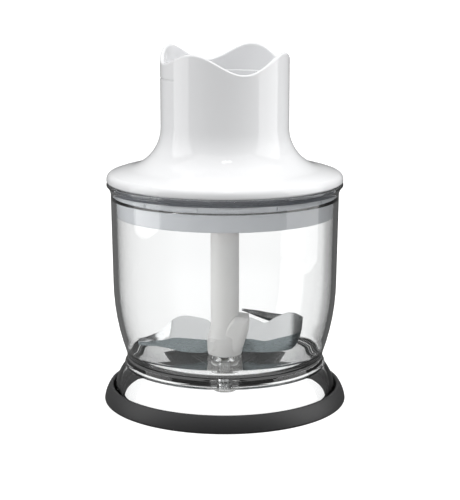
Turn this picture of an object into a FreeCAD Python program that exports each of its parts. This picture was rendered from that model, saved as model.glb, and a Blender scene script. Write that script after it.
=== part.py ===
# Chopper attachment for a stick mixer: a clear bowl on a rubber ring, a two-winged blade on a
# steel pin, and a lid with a 4:1 planetary gear and a collar for the mixer's motor part.
# Millimetres, +Z up, origin at the centre of the ring's foot.
import FreeCAD, Part
import math
import os

import Sketcher

doc = FreeCAD.newDocument("chopper")
sheet = doc.addObject("Spreadsheet::Sheet", "dims")

# The driving dimensions. Everything else is worked out from these.
DIMENSIONS = {
    # rubber ring
    "ring_radius": 59.0,
    "ring_high": 8.0,
    "ring_lip_radius": 56.3,
    "ring_inner_radius": 50.5,
    "groove_floor": 2.6,
    # bowl
    "bowl_wall": 2.4,
    "bowl_rim_radius": 56.7,
    "bowl_rim_top": 107.4,
    "bowl_top_radius": 54.7,
    "lug_room_radius": 53.4,
    "lug_radius": 53.0,
    "lug_bottom": 101.7,
    "lug_high": 1.8,
    "bowl_belly_radius": 54.05,
    "bowl_belly_level": 60.0,
    "bowl_waist_radius": 47.9,
    "bowl_waist_level": 24.3,
    "bowl_belly_curve": 107.0,
    "floor_top": 22.0,
    "floor_under": 19.2,
    "foot_radius": 54.35,
    "foot_level": 2.9,
    "foot_curve": 23.3,
    "boss_radius": 6.8,
    "boss_tip_radius": 5.4,
    "boss_end": 1.6,
    # pin, bush and blade hub
    "pin_radius": 2.5,
    "pin_top": 80.0,
    "running_gap": 0.05,
    "bush_radius": 4.0,
    "bush_top": 64.0,
    "hub_radius": 6.9,
    "hub_base": 22.6,
    "hub_shoulder": 84.8,
    "hub_end": 90.8,
    "hex_flat": 9.7,
    "blade_thick": 1.2,
    "blade_turn": -9.0,
    # lid shell
    "lid_radius": 56.65,
    "lid_lip": 107.8,
    "lid_wall": 2.4,
    "collar_radius": 30.6,
    "collar_foot": 134.0,
    "collar_flare": 20.0,
    "rim_level": 167.1,
    "rim_tilt": 1.7,
    "rim_side_drop": 1.2,
    "rim_wave": 3.65,
    "rim_turn": 9.0,
    "socket_floor": 126.4,
    "socket_radius": 28.2,
    "socket_low": 148.0,
    "socket_high": 160.0,
    # lid base and gearbox
    "skirt_radius": 51.8,
    "skirt_bottom": 92.2,
    "deck_top": 109.3,
    "deck_thick": 1.9,
    "cup_radius": 27.5,
    "cup_inner_radius": 25.5,
    "cup_floor": 91.6,
    "cup_under": 89.6,
    "seal_seat_bottom": 85.0,
    "lid_screw_circle": 37.5,
    "cover_screw_circle": 30.5,
    "cover_radius": 33.5,
    # gears
    "gear_module": 1.0,
    "sun_teeth": 15,
    "planet_teeth": 15,
    "ring_teeth": 45,
    "backlash": 0.16,
    "gear_bottom": 95.9,
    "gear_top": 104.6,
    "carrier_radius": 19.5,
    "planet_pin_radius": 2.0,
    "output_radius": 7.6,
    "shaft_top": 142.0,
    "coupling_top": 143.5,
    # bearing and seal seats
    "input_bush_radius": 5.0,
    "input_tube_radius": 7.6,
    "output_bush_radius": 9.1,
    "seal_radius": 10.4,
    "seal_collar_radius": 12.4,
    # screws
    "lid_screw_radius": 1.5,
    "lid_screw_head": 3.0,
    "lid_screw_long": 6.8,
    "cover_screw_radius": 1.2,
    "cover_screw_head": 2.3,
    "cover_screw_long": 9.0,
    "screw_head_high": 2.0,
    # guide ribs and grip lines of the collar
    "rib_deep": 2.6,
    "rib_wide": 2.2,
    "rib_high": 21.0,
    "rib_inner_radius": 26.6,
    "grip_level": 156.9,
    "grip_deep": 0.45,
    "grip_high": 0.8,
}


class Size:
    """A number that remembers the spreadsheet expression it came from."""

    def __init__(self, value, text):
        self.value = value
        self.text = text

    def combine(self, other, sign):
        other = other if isinstance(other, Size) else Size(other, repr(other))
        value = {
            "+": self.value + other.value,
            "-": self.value - other.value,
            "*": self.value * other.value,
        }[sign]
        return Size(value, f"({self.text} {sign} {other.text})")

    def __add__(self, other):
        return self.combine(other, "+")

    def __sub__(self, other):
        return self.combine(other, "-")

    def __mul__(self, other):
        return self.combine(other, "*")


class Dims:
    """The spreadsheet's cells as Size objects, one attribute for each alias."""


dim = Dims()
for number, (alias, value) in enumerate(DIMENSIONS.items(), start=1):
    sheet.set(f"A{number}", alias)
    sheet.set(f"B{number}", str(value))
    sheet.setAlias(f"B{number}", alias)
    setattr(dim, alias, Size(float(value), f"dims.{alias}"))
doc.recompute()

ON_AXIS = Size(0.0, "0")
LEFT = 1
RIGHT = -1
NODES = []


def fixed(value):
    """A Size for a length with no cell of its own."""
    return Size(float(value), repr(float(value)))


def keep(thing, label):
    """Names a finished sub-part and lists it for export."""
    thing.Label = label
    NODES.append(thing)
    return thing


# Sketches and features.


def new_sketch(body, role, name, lift=None):
    """A sketch on one of the body's own origin planes, raised by lift where it is given."""
    sketch = body.newObject("Sketcher::SketchObject", name)
    plane = [f for f in body.Origin.OriginFeatures if f.Role == role][0]
    sketch.AttachmentSupport = (plane, [""])
    sketch.MapMode = "FlatFace"
    if lift is not None:
        sketch.AttachmentOffset = FreeCAD.Placement(
            FreeCAD.Vector(0, 0, lift.value), FreeCAD.Rotation()
        )
        sketch.setExpression("AttachmentOffset.Base.z", lift.text)
    return sketch


def arc_edge(start, end, radius, side):
    """The short arc from start to end, with its centre to the left or right of travel."""
    chord = end - start
    reach = math.sqrt(max(radius**2 - (chord.Length / 2) ** 2, 0.0))
    across = FreeCAD.Vector(-chord.y, chord.x, 0).normalize()
    centre = (start + end) * 0.5 + across * (reach * side)
    first, last = (start, end) if side == LEFT else (end, start)
    angles = [math.atan2(p.y - centre.y, p.x - centre.x) for p in (first, last)]
    circle = Part.Circle(centre, FreeCAD.Vector(0, 0, 1), radius)
    return Part.ArcOfCircle(circle, *angles)


def bind(sketch, constraint, size):
    """Adds a constraint and ties its value to the spreadsheet."""
    index = sketch.addConstraint(constraint)
    sketch.setExpression(f"Constraints[{index}]", size.text)


def draw_outline(sketch, corners):
    """A closed outline. A corner is (x, y), or (x, y, radius, side) where an arc leaves it."""
    points = [FreeCAD.Vector(c[0].value, c[1].value, 0) for c in corners]
    ends = []
    for i, corner in enumerate(corners):
        start, end = points[i], points[(i + 1) % len(points)]
        if len(corner) == 2:
            ends.append((sketch.addGeometry(Part.LineSegment(start, end), False), 1, 2))
            continue
        geometry = arc_edge(start, end, corner[2].value, corner[3])
        order = (1, 2) if corner[3] == LEFT else (2, 1)
        ends.append((sketch.addGeometry(geometry, False), *order))
    for i, (geometry, first, last) in enumerate(ends):
        following, its_first, _ = ends[(i + 1) % len(ends)]
        sketch.addConstraint(Sketcher.Constraint("Coincident", geometry, last, following, its_first))
    for (geometry, first, last), corner in zip(ends, corners):
        x, y = corner[0], corner[1]
        for kind, size, axis in (("DistanceX", x, -2), ("DistanceY", y, -1)):
            if size is ON_AXIS:
                sketch.addConstraint(Sketcher.Constraint("PointOnObject", geometry, first, axis))
            else:
                bind(sketch, Sketcher.Constraint(kind, -1, 1, geometry, first, size.value), size)
        if len(corner) == 4:
            bind(sketch, Sketcher.Constraint("Radius", geometry, corner[2].value), corner[2])


def turned(name, corners):
    """A body of revolution about Z from an outline in radius and height."""
    body = doc.addObject("PartDesign::Body", name)
    sketch = new_sketch(body, "XZ_Plane", name + "_outline")
    draw_outline(sketch, corners)
    doc.recompute()
    revolution = body.newObject("PartDesign::Revolution", name + "_turn")
    revolution.Profile = sketch
    revolution.ReferenceAxis = (sketch, ["V_Axis"])
    revolution.Angle = 360.0
    doc.recompute()
    return body


def padded_outline(body, name, role, corners, length, lift=None, middle=False, cut=False):
    """Adds a Pad, or a Pocket where cut is set, of an outline to a body."""
    sketch = new_sketch(body, role, name + "_outline", lift)
    draw_outline(sketch, corners)
    doc.recompute()
    before = body.Shape.Volume if body.Tip else 0.0
    feature = body.newObject("PartDesign::Pocket" if cut else "PartDesign::Pad", name)
    feature.Profile = sketch
    feature.Length = length.value
    feature.setExpression("Length", length.text)
    feature.SideType = "Symmetric" if middle else "One side"
    doc.recompute()
    if cut and body.Shape.Volume >= before:
        feature.Reversed = True
        doc.recompute()
    return feature


def hexagon(across_flats):
    """The six corners of a hexagon, with a corner on +X."""
    reach = 1 / math.sqrt(3)
    corners = []
    for k in range(6):
        angle = math.radians(60 * k)
        x = ON_AXIS if abs(math.cos(angle)) < 1e-9 else across_flats * (reach * math.cos(angle))
        y = ON_AXIS if abs(math.sin(angle)) < 1e-9 else across_flats * (reach * math.sin(angle))
        corners.append((x, y))
    return corners


def cylinder(name, radius, bottom, high, circle=None, angle=0.0):
    """A plain cylinder along Z, on the axis or at an angle on a circle round it."""
    thing = doc.addObject("Part::Cylinder", name)
    thing.setExpression("Radius", radius.text)
    thing.setExpression("Height", high.text)
    turn = math.radians(angle)
    reach = circle.value if circle else 0.0
    thing.Placement = FreeCAD.Placement(
        FreeCAD.Vector(reach * math.cos(turn), reach * math.sin(turn), bottom.value),
        FreeCAD.Rotation(),
    )
    thing.setExpression("Placement.Base.z", bottom.text)
    if circle:
        thing.setExpression("Placement.Base.x", f"{circle.text} * {math.cos(turn)!r}")
        thing.setExpression("Placement.Base.y", f"{circle.text} * {math.sin(turn)!r}")
    return thing


def on_circle(name, radius, bottom, high, circle, start):
    """Three cylinders, 120 degrees apart, on a circle round the axis."""
    return [cylinder(f"{name}_{k}", radius, bottom, high, circle, start + 120 * k) for k in range(3)]


def minus(name, base, tools):
    """Base with every tool cut out of it."""
    for i, tool in enumerate(tools):
        cut = doc.addObject("Part::Cut", f"{name}_cut_{i}")
        cut.Base = base
        cut.Tool = tool
        base = cut
    doc.recompute()
    return base


def joined(name, things):
    """Several solids fused into one."""
    fuse = doc.addObject("Part::MultiFuse", name)
    fuse.Shapes = things
    doc.recompute()
    return fuse


def grouped(name, things):
    """Identical pieces kept as separate solids in one node."""
    group = doc.addObject("Part::Compound", name)
    group.Links = things
    doc.recompute()
    return group


def plain(name, shape):
    """A Part::Feature for a shape that neither sketches nor primitives make."""
    thing = doc.addObject("Part::Feature", name)
    thing.Shape = shape
    return thing


# Rubber ring.

GAP = 0.4  # bowl foot to ring groove, each side


def make_ring():
    """A U-shaped rubber channel whose groove holds the bowl's foot."""
    foot_inner = dim.foot_radius - 2.0
    return turned(
        "ring",
        [
            (dim.ring_inner_radius, ON_AXIS),
            (dim.ring_radius - 0.8, ON_AXIS, fixed(1.1), LEFT),
            (dim.ring_radius, fixed(1.2), fixed(16), LEFT),
            (dim.ring_lip_radius, dim.ring_high),
            (dim.foot_radius + GAP, dim.ring_high),
            (dim.foot_radius + GAP, dim.groove_floor),
            (foot_inner - GAP, dim.groove_floor),
            (foot_inner - GAP, dim.groove_floor + 2.6),
            (dim.ring_inner_radius + 0.2, dim.groove_floor + 2.6),
        ],
    )


# Bowl and its pin.


def make_bowl():
    """A belled cup on a flared foot, with a flanged rim and a deep boss under its floor."""
    wall, floor = dim.bowl_wall, dim.floor_top
    bore_end = dim.boss_end + 3.4
    return turned(
        "bowl_shape",
        [
            (dim.pin_radius, floor),
            (dim.pin_radius, bore_end),
            (ON_AXIS, bore_end),
            (ON_AXIS, dim.boss_end),
            (dim.boss_tip_radius - 1.8, dim.boss_end, fixed(1.8), LEFT),
            (dim.boss_tip_radius, dim.boss_end + 1.8),
            (dim.boss_tip_radius + 0.2, dim.boss_end + 4.6),
            (dim.boss_radius - 0.2, dim.boss_end + 5.6),
            (dim.boss_radius, dim.floor_under - 1.0),
            (dim.boss_radius + 1.0, dim.floor_under),
            (dim.bowl_waist_radius - 1.5, dim.floor_under, dim.foot_curve - 2.0, RIGHT),
            (dim.foot_radius - 2.0, dim.foot_level),
            (dim.foot_radius, dim.foot_level, dim.foot_curve, LEFT),
            (dim.bowl_waist_radius + 0.7, dim.bowl_waist_level - 6.3),
            (dim.bowl_waist_radius + 1.0, dim.bowl_waist_level - 6.1),
            (dim.bowl_waist_radius + 1.0, dim.bowl_waist_level - 5.1),
            (dim.bowl_waist_radius - 0.2, dim.bowl_waist_level - 2.6),
            (dim.bowl_waist_radius, dim.bowl_waist_level, dim.bowl_belly_curve, LEFT),
            (dim.bowl_belly_radius, dim.bowl_belly_level),
            (dim.bowl_top_radius, dim.bowl_rim_top - 5.4, fixed(6.4), RIGHT),
            (dim.bowl_rim_radius, dim.bowl_rim_top - 1.2),
            (dim.bowl_rim_radius, dim.bowl_rim_top - 0.4),
            (dim.bowl_rim_radius - 0.4, dim.bowl_rim_top),
            (dim.lug_room_radius + 0.6, dim.bowl_rim_top),
            (dim.lug_room_radius, dim.bowl_rim_top - 0.6),
            (dim.lug_room_radius, dim.bowl_rim_top - 6.0),
            (dim.bowl_top_radius - wall, dim.bowl_rim_top - 7.2),
            (dim.bowl_belly_radius - wall, dim.bowl_belly_level, dim.bowl_belly_curve - wall, RIGHT),
            (dim.bowl_waist_radius - 1.2, floor + 6.0, fixed(6.5), RIGHT),
            (dim.bowl_waist_radius - 6.2, floor),
        ],
    )


def make_pin():
    """The steel pin pressed into the bowl's boss, with a domed top."""
    tip = dim.pin_top
    return turned(
        "pin",
        [
            (ON_AXIS, dim.boss_end + 3.4),
            (dim.pin_radius, dim.boss_end + 3.4),
            (dim.pin_radius, tip - 1.6, fixed(2.2), LEFT),
            (dim.pin_radius - 1.7, tip),
            (ON_AXIS, tip),
        ],
    )


def make_bush():
    """The flanged sleeve that slides on the pin and lets the hub turn."""
    bore = dim.pin_radius + dim.running_gap
    bottom = dim.hub_base - 0.3
    flange = bottom + 1.2
    return turned(
        "bush",
        [
            (bore, bottom),
            (dim.bush_radius + 1.4, bottom),
            (dim.bush_radius + 1.4, flange),
            (dim.bush_radius, flange),
            (dim.bush_radius, dim.bush_top),
            (bore, dim.bush_top),
        ],
    )


# Blade.

# Each station of a wing is its lower edge point and its upper edge point, from root to tip,
# before the whole blade is turned by blade_turn.
LOW_WING = [
    ((-4.0, -1.4, 23.4), (-4.0, 0.8, 35.2)),
    ((-8.0, -2.4, 23.4), (-8.4, 1.5, 38.7)),
    ((-14.3, -3.0, 23.5), (-14.3, 2.2, 40.1)),
    ((-20.5, -2.8, 23.9), (-20.6, 2.8, 40.5)),
    ((-25.4, -2.0, 24.8), (-25.2, 3.2, 38.6)),
    ((-28.6, -1.0, 25.3), (-28.4, 4.0, 34.8)),
    ((-33.3, 0.5, 25.7), (-33.2, 6.0, 31.0)),
    ((-38.7, 2.0, 25.5), (-38.8, 7.6, 28.2)),
    ((-43.2, 3.4, 25.3), (-43.3, 7.8, 27.0)),
]
HIGH_WING = [
    ((4.0, -1.0, 23.6), (4.0, 0.8, 39.8)),
    ((11.8, -2.2, 23.6), (11.8, 1.2, 40.2)),
    ((16.5, -2.8, 23.6), (16.2, 1.5, 38.6)),
    ((20.1, -2.8, 23.6), (20.0, 1.5, 37.4)),
    ((26.3, -2.0, 23.8), (26.0, 2.5, 40.4)),
    ((33.1, 0.6, 24.5), (32.6, 4.5, 41.8)),
    ((36.8, 6.0, 27.6), (38.0, 8.3, 38.8)),
    ((37.4, 13.0, 29.2), (37.6, 12.0, 37.2)),
    ((32.1, 21.5, 30.4), (32.3, 20.2, 36.2)),
    ((22.8, 27.6, 31.6), (22.7, 26.4, 35.9)),
    ((17.5, 29.6, 33.0), (17.5, 28.6, 36.4)),
    ((12.3, 30.2, 35.0), (12.3, 29.6, 36.8)),
    ((8.8, 30.0, 36.4), (8.7, 29.6, 37.2)),
]


def blade_turn():
    """The rest position of the whole blade, as a turn about Z."""
    return FreeCAD.Rotation(FreeCAD.Vector(0, 0, 1), dim.blade_turn.value)


def make_wing(name, stations):
    """A strip of sheet steel: thin rectangles across the stations, joined by ruled faces.

    Its root stops inside the hub's wall, clear of the bush.
    """
    turn = blade_turn()
    low = [turn.multVec(FreeCAD.Vector(*s[0])) for s in stations]
    high = [turn.multVec(FreeCAD.Vector(*s[1])) for s in stations]
    middle = [(a + b) * 0.5 for a, b in zip(low, high)]
    half = dim.blade_thick.value / 2
    sections = []
    for i, (bottom, top) in enumerate(zip(low, high)):
        along = middle[min(i + 1, len(middle) - 1)] - middle[max(i - 1, 0)]
        off = (top - bottom).cross(along).normalize() * half
        corners = [bottom - off, top - off, top + off, bottom + off, bottom - off]
        sections.append(Part.makePolygon(corners))
    strip = plain(f"{name}_strip", Part.makeLoft(sections, True, True))
    clear = cylinder(f"{name}_clear", dim.bush_radius + 1.7, dim.hub_base - 1.0, fixed(30.0))
    return minus(name, strip, [clear])


def make_hub():
    """The blade's long hub: a tube with a hexagon on top and a block that grips both wings."""
    bore = dim.bush_radius + dim.running_gap
    base = dim.hub_base
    body = turned(
        "hub",
        [
            (dim.bush_radius + 1.6, base),
            (dim.hub_radius + 1.4, base),
            (dim.hub_radius + 1.9, base + 2.0),
            (dim.hub_radius + 1.9, base + 9.0, fixed(14.0), RIGHT),
            (dim.hub_radius, base + 17.0),
            (dim.hub_radius, dim.hub_shoulder - 0.8),
            (dim.hub_radius - 0.8, dim.hub_shoulder),
            (bore, dim.hub_shoulder),
            (bore, base + 1.2),
            (dim.bush_radius + 1.6, base + 1.2),
        ],
    )
    padded_outline(body, "hub_hex", "XY_Plane", hexagon(dim.hex_flat), fixed(12.0), dim.hub_end - 12.0)
    block = make_hub_block()
    whole = joined("hub_joined", [body, block])
    hollow = cylinder("hub_bore", bore, base - 1.0, fixed(60.0))
    recess = cylinder("hub_recess", dim.bush_radius + 1.7, base - 1.0, fixed(2.2))
    return minus("hub", whole, [hollow, recess])


def make_hub_block():
    """The boot-shaped block round the wings' roots: low on one side, high on the other."""
    base = dim.hub_base
    block = doc.addObject("PartDesign::Body", "block")
    outline = [
        (fixed(-7.0), base + 0.5),
        (fixed(6.0), base + 0.5),
        (fixed(8.8), base + 4.0),
        (fixed(11.2), base + 12.0, fixed(20.0), LEFT),
        (fixed(11.8), base + 18.6),
        (fixed(5.4), base + 19.4, fixed(9.0), LEFT),
        (fixed(0.6), base + 12.6, fixed(7.0), RIGHT),
        (fixed(-3.0), base + 9.2),
        (fixed(-7.2), base + 8.8),
    ]
    padded_outline(block, "block_pad", "XZ_Plane", outline, fixed(15.0), middle=True)
    block.Placement = FreeCAD.Placement(FreeCAD.Vector(0, 0, 0), blade_turn())
    doc.recompute()
    return block


# Lid shell.


def rim_height(angle):
    """Height of the collar's wavy rim at an angle in degrees from its front dip."""
    wave = dim.rim_tilt.value * math.cos(math.radians(angle))
    wave += dim.rim_side_drop.value * math.cos(math.radians(2 * angle))
    wave += dim.rim_wave.value * math.cos(math.radians(4 * angle))
    return dim.rim_level.value - wave


def rim_direction(angle):
    """Unit vector at an angle from the rim's front dip, which is rim_turn to the right of -Y."""
    turn = math.radians(angle + dim.rim_turn.value - 90)
    return FreeCAD.Vector(math.cos(turn), math.sin(turn), 0)


def wave_cutter():
    """Everything above the wavy rim."""
    curves = []
    for radius in (dim.collar_radius.value - 8, dim.collar_radius.value + 4):
        points = [
            rim_direction(a) * radius + FreeCAD.Vector(0, 0, rim_height(a)) for a in range(0, 360, 6)
        ]
        curve = Part.BSplineCurve()
        curve.interpolate(Points=points, PeriodicFlag=True)
        curves.append(curve.toShape())
    face = Part.makeRuledSurface(curves[0], curves[1])
    return plain("wave_cutter", face.extrude(FreeCAD.Vector(0, 0, 30)))


BLANK_TOP = fixed(176.0)  # the collar's height before its rim is cut to the wave


def lid_outline():
    """The lid shell's section: lip, dome, flare, collar, and the socket's floor inside.

    The socket grips the motor part only between socket_low and socket_high; its wall is eased
    above that band and stands in a little below it.
    """
    wall, foot, flare, ease = dim.lid_wall, dim.collar_foot, dim.collar_flare, 0.4
    return [
        (dim.input_bush_radius, dim.socket_floor - 8.9),
        (dim.input_tube_radius, dim.socket_floor - 8.9),
        (dim.input_tube_radius, dim.socket_floor - wall),
        (dim.collar_radius, dim.socket_floor - wall, flare + wall, LEFT),
        (fixed(46.0), foot - 21.9),
        (fixed(52.6), dim.lid_lip + 3.1),
        (fixed(54.4), dim.lid_lip + 1.8),
        (fixed(54.8), dim.lid_lip),
        (dim.lid_radius - 0.5, dim.lid_lip),
        (dim.lid_radius, dim.lid_lip + 0.6),
        (dim.lid_radius, dim.lid_lip + 1.4, fixed(3.25), LEFT),
        (dim.lid_radius - 2.18, dim.lid_lip + 4.47, fixed(50), LEFT),
        (fixed(47), foot - 19.67, flare, RIGHT),
        (dim.collar_radius, foot),
        (dim.collar_radius, BLANK_TOP),
        (dim.socket_radius + ease, BLANK_TOP),
        (dim.socket_radius + ease, dim.socket_high + ease),
        (dim.socket_radius, dim.socket_high),
        (dim.socket_radius, dim.socket_low),
        (dim.socket_radius - ease, dim.socket_low - ease),
        (dim.socket_radius - ease, dim.socket_floor + 1.0),
        (dim.socket_radius - ease - 1.0, dim.socket_floor),
        (dim.input_tube_radius, dim.socket_floor),
        (dim.input_tube_radius, dim.socket_floor + 1.8),
        (dim.input_bush_radius, dim.socket_floor + 1.8),
    ]


def boss_envelope():
    """The space under the dome that the screw bosses may fill."""
    foot = dim.collar_foot
    return turned(
        "boss_envelope",
        [
            (fixed(20.0), dim.deck_top),
            (fixed(50.0), dim.deck_top),
            (fixed(50.0), dim.deck_top + 3.4),
            (fixed(46.0), foot - 20.4, dim.collar_flare + 0.9, RIGHT),
            (dim.collar_radius - 0.4, foot - 2.0),
            (fixed(20.0), foot - 2.0),
        ],
    )


def make_lid_shell():
    """The white shell, with screw bosses under the dome and guide ribs in the collar."""
    shell = turned("shell", lid_outline())
    envelope = boss_envelope()
    bosses = []
    for k, post in enumerate(on_circle("boss", fixed(3.4), dim.deck_top, fixed(20.0), dim.lid_screw_circle, 0)):
        trimmed = doc.addObject("Part::Common", f"boss_trimmed_{k}")
        trimmed.Base = post
        trimmed.Tool = envelope
        bosses.append(trimmed)
    for k in range(4):
        bosses.append(guide_rib(k))
    whole = joined("shell_joined", [shell, *bosses])
    cuts = [wave_cutter(), grip_line(0), grip_line(1)]
    cuts += on_circle(
        "boss_hole", dim.lid_screw_radius, dim.deck_top - 1.0, dim.lid_screw_long - 0.4, dim.lid_screw_circle, 0
    )
    return minus("shell", whole, cuts)


def guide_rib(k):
    """One of four ribs on the socket's wall that guide the motor part in."""
    rib = doc.addObject("Part::Box", f"guide_rib_{k}")
    for side, size in (("Length", dim.rib_deep), ("Width", dim.rib_wide), ("Height", dim.rib_high)):
        rib.setExpression(side, size.text)
    turn = FreeCAD.Rotation(FreeCAD.Vector(0, 0, 1), 90 * k + 45 + dim.rim_turn.value)
    low = dim.socket_floor.value - 0.5
    corner = FreeCAD.Vector(dim.rib_inner_radius.value, -dim.rib_wide.value / 2, low)
    rib.Placement = FreeCAD.Placement(turn.multVec(corner), turn)
    return rib


GRIP_SWEEP = 42.0  # degrees of collar that each grip line covers


def grip_line(side):
    """A shallow groove on the collar's outside, under the rim's dip at each side."""
    start = dim.rim_turn.value + 180 * side - GRIP_SWEEP / 2
    outer = doc.addObject("Part::Cylinder", f"line_outer_{side}")
    inner = doc.addObject("Part::Cylinder", f"line_inner_{side}")
    for thing, radius in ((outer, dim.collar_radius + 1.0), (inner, dim.collar_radius - dim.grip_deep)):
        thing.setExpression("Radius", radius.text)
        thing.setExpression("Height", dim.grip_high.text)
        thing.Placement = FreeCAD.Placement(
            FreeCAD.Vector(0, 0, dim.grip_level.value), FreeCAD.Rotation(FreeCAD.Vector(0, 0, 1), start)
        )
    outer.Angle = GRIP_SWEEP
    return minus(f"line_{side}", outer, [inner])


# Lid base and gearbox.


LUGS = 12
LUG_START = 17.5  # degrees from +X to where the first lug begins
LUG_SWEEP = 20.0


def make_lid_base():
    """The lid's lower casing: skirt, deck, and the cup that holds the gears."""
    under = dim.deck_top - dim.deck_thick
    body = turned(
        "base",
        [
            (dim.seal_radius, dim.seal_seat_bottom),
            (dim.seal_collar_radius, dim.seal_seat_bottom),
            (dim.seal_collar_radius, dim.cup_under),
            (dim.cup_radius - 1.5, dim.cup_under),
            (dim.cup_radius, dim.cup_under + 1.5),
            (dim.cup_radius, under),
            (dim.skirt_radius - 1.8, under),
            (dim.skirt_radius - 1.8, dim.skirt_bottom),
            (dim.skirt_radius, dim.skirt_bottom),
            (dim.skirt_radius, dim.bowl_rim_top + 0.3),
            (dim.skirt_radius + 2.1, dim.bowl_rim_top + 0.3),
            (dim.skirt_radius + 2.1, dim.deck_top),
            (dim.cup_inner_radius, dim.deck_top),
            (dim.cup_inner_radius, dim.cup_floor),
            (dim.output_bush_radius, dim.cup_floor),
            (dim.output_bush_radius, dim.seal_seat_bottom + 2.1),
            (dim.seal_radius, dim.seal_seat_bottom + 2.1),
        ],
    )
    posts = on_circle("post", fixed(3.2), under - 7.4, fixed(8.0), dim.cover_screw_circle, 60)
    lugs = [make_lug(k) for k in range(LUGS)]
    whole = joined("base_joined", [body, *posts, *lugs])
    loose = dim.lid_screw_radius + 0.2
    holes = on_circle("deck_hole", loose, under - 1.0, fixed(4.0), dim.lid_screw_circle, 0)
    holes += on_circle("post_hole", dim.cover_screw_radius, under - 6.2, fixed(9.0), dim.cover_screw_circle, 60)
    gear_room = cylinder("gear_room", dim.cup_inner_radius, dim.cup_floor, fixed(20.0))
    return minus("base", whole, [*holes, gear_room])


def make_lug(k):
    """One of the short ledges round the skirt that centre the lid in the bowl's mouth."""
    outer = doc.addObject("Part::Cylinder", f"lug_outer_{k}")
    inner = doc.addObject("Part::Cylinder", f"lug_inner_{k}")
    for thing, radius in ((outer, dim.lug_radius), (inner, dim.skirt_radius - 0.6)):
        thing.setExpression("Radius", radius.text)
        thing.setExpression("Height", dim.lug_high.text)
        thing.setExpression("Placement.Base.z", dim.lug_bottom.text)
        thing.Placement = FreeCAD.Placement(
            FreeCAD.Vector(0, 0, dim.lug_bottom.value),
            FreeCAD.Rotation(FreeCAD.Vector(0, 0, 1), 360 / LUGS * k + LUG_START),
        )
    outer.Angle = LUG_SWEEP
    return minus(f"lug_{k}", outer, [inner])


def make_cover():
    """The plate that closes the gear cup, with a rim that centres it."""
    body = turned(
        "cover",
        [
            (fixed(3.2), dim.deck_top),
            (dim.cup_inner_radius - 1.6, dim.deck_top),
            (dim.cup_inner_radius - 1.6, dim.deck_top - 1.4),
            (dim.cup_inner_radius - 0.1, dim.deck_top - 1.4),
            (dim.cup_inner_radius - 0.1, dim.deck_top),
            (dim.cover_radius, dim.deck_top),
            (dim.cover_radius, dim.deck_top + 1.4),
            (dim.cover_radius - 0.6, dim.deck_top + 2.0),
            (fixed(3.2), dim.deck_top + 2.0),
        ],
    )
    loose = dim.cover_screw_radius + 0.15
    holes = on_circle("cover_hole", loose, dim.deck_top - 1.0, fixed(4.0), dim.cover_screw_circle, 60)
    return minus("cover", body, holes)


def make_screws(name, start, seat, upward):
    """Three pan-head screws on a circle. Upward screws have their heads below the seat.

    Their sizes are the cells that start with the screw's name.
    """
    circle = getattr(dim, f"{name}_circle")
    shank_radius = getattr(dim, f"{name}_radius")
    head_radius = getattr(dim, f"{name}_head")
    length = getattr(dim, f"{name}_long")
    head_base = seat - dim.screw_head_high if upward else seat
    shank_base = seat if upward else seat - length
    recess_base = head_base - 0.1 if upward else head_base + (dim.screw_head_high - 0.9)
    heads = on_circle(f"{name}_head", head_radius, head_base, dim.screw_head_high, circle, start)
    shanks = on_circle(f"{name}_shank", shank_radius, shank_base, length, circle, start)
    recesses = on_circle(f"{name}_recess", head_radius * 0.45, recess_base, fixed(1.0), circle, start)
    screws = []
    for k, (head, shank, recess) in enumerate(zip(heads, shanks, recesses)):
        screws.append(minus(f"{name}_{k}", joined(f"{name}_joined_{k}", [head, shank]), [recess]))
    return grouped(f"{name}_group", screws)


# Gears.

FLANK_POINTS = 6


def involute_half_angle(radius, base_radius):
    """Angle swept by an involute from its base circle out to a radius."""
    if radius <= base_radius:
        return 0.0
    pressure = math.acos(base_radius / radius)
    return math.tan(pressure) - pressure


def tooth_outline(teeth, tip, root, thinner, phase):
    """Corner points of an involute outline, with the first tooth centred at phase degrees."""
    module = dim.gear_module.value
    pitch = module * teeth / 2
    base_radius = pitch * math.cos(math.radians(20))
    half_pitch_angle = math.pi / (2 * teeth) - thinner / (2 * pitch)
    at_pitch = involute_half_angle(pitch, base_radius)
    start = max(root, base_radius)
    flank = []
    for i in range(FLANK_POINTS):
        radius = start + (tip - start) * i / (FLANK_POINTS - 1)
        half = half_pitch_angle + at_pitch - involute_half_angle(radius, base_radius)
        flank.append((radius, half))
    if start > root:
        flank.insert(0, (root, flank[0][1]))
    points = []
    for k in range(teeth):
        centre = math.radians(phase) + 2 * math.pi * k / teeth
        for radius, half in flank:
            points.append((radius, centre - half))
        for radius, half in reversed(flank):
            points.append((radius, centre + half))
    return [FreeCAD.Vector(r * math.cos(a), r * math.sin(a), 0) for r, a in points]


def prism(points, bottom, top):
    """The solid between two heights over a closed outline."""
    face = Part.Face(Part.makePolygon([*points, points[0]]))
    face.translate(FreeCAD.Vector(0, 0, bottom))
    return face.extrude(FreeCAD.Vector(0, 0, top - bottom))


def make_gear(name, teeth, phase, bore, lower, upper, at):
    """An external gear with a round bore, its axis through the point at."""
    module = dim.gear_module.value
    pitch = module * teeth / 2
    points = tooth_outline(teeth, pitch + module, pitch - 1.25 * module, dim.backlash.value, phase)
    solid = prism(points, lower, upper)
    hole = Part.makeCylinder(bore, upper - lower + 2, FreeCAD.Vector(0, 0, lower - 1))
    gear = plain(name, solid.cut(hole))
    gear.Placement = FreeCAD.Placement(at, FreeCAD.Rotation())
    return gear


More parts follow.
